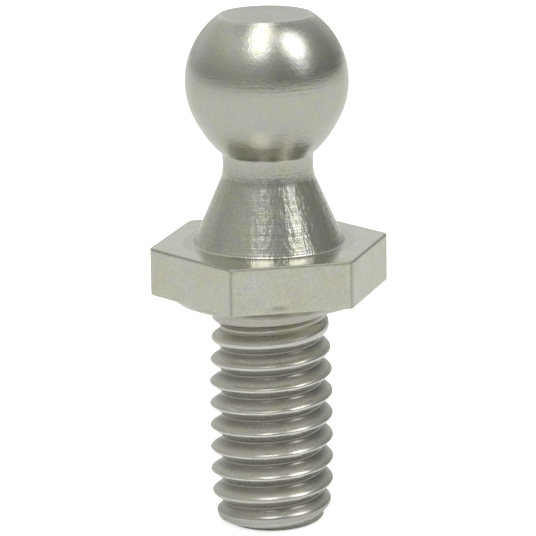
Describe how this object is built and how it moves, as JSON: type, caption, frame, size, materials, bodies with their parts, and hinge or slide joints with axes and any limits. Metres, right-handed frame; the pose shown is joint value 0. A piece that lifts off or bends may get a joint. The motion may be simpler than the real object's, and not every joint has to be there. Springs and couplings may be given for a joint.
{
  "type": "ball stud",
  "caption": "One-piece steel ball stud: threaded shank, washer-faced hexagon, tapered shoulder, short neck and a ball with a flat on its pole, for a ball socket.",
  "frame": {"origin": "centre of the thread's end face", "axes": "+Z along the stud's axis from the thread to the ball; two flats of the hexagon face -Y and +Y, and two of its corners lie on the X axis"},
  "size_m": [0.0148, 0.013, 0.032],
  "materials": {
    "zinc_plated_steel": "bright zinc plating: shiny on the ball, satin with fine turning marks on the shoulder, hexagon and thread"
  },
  "bodies": {
    "root": {"ball_stud": "zinc_plated_steel"}
  },
  "joints": []
}
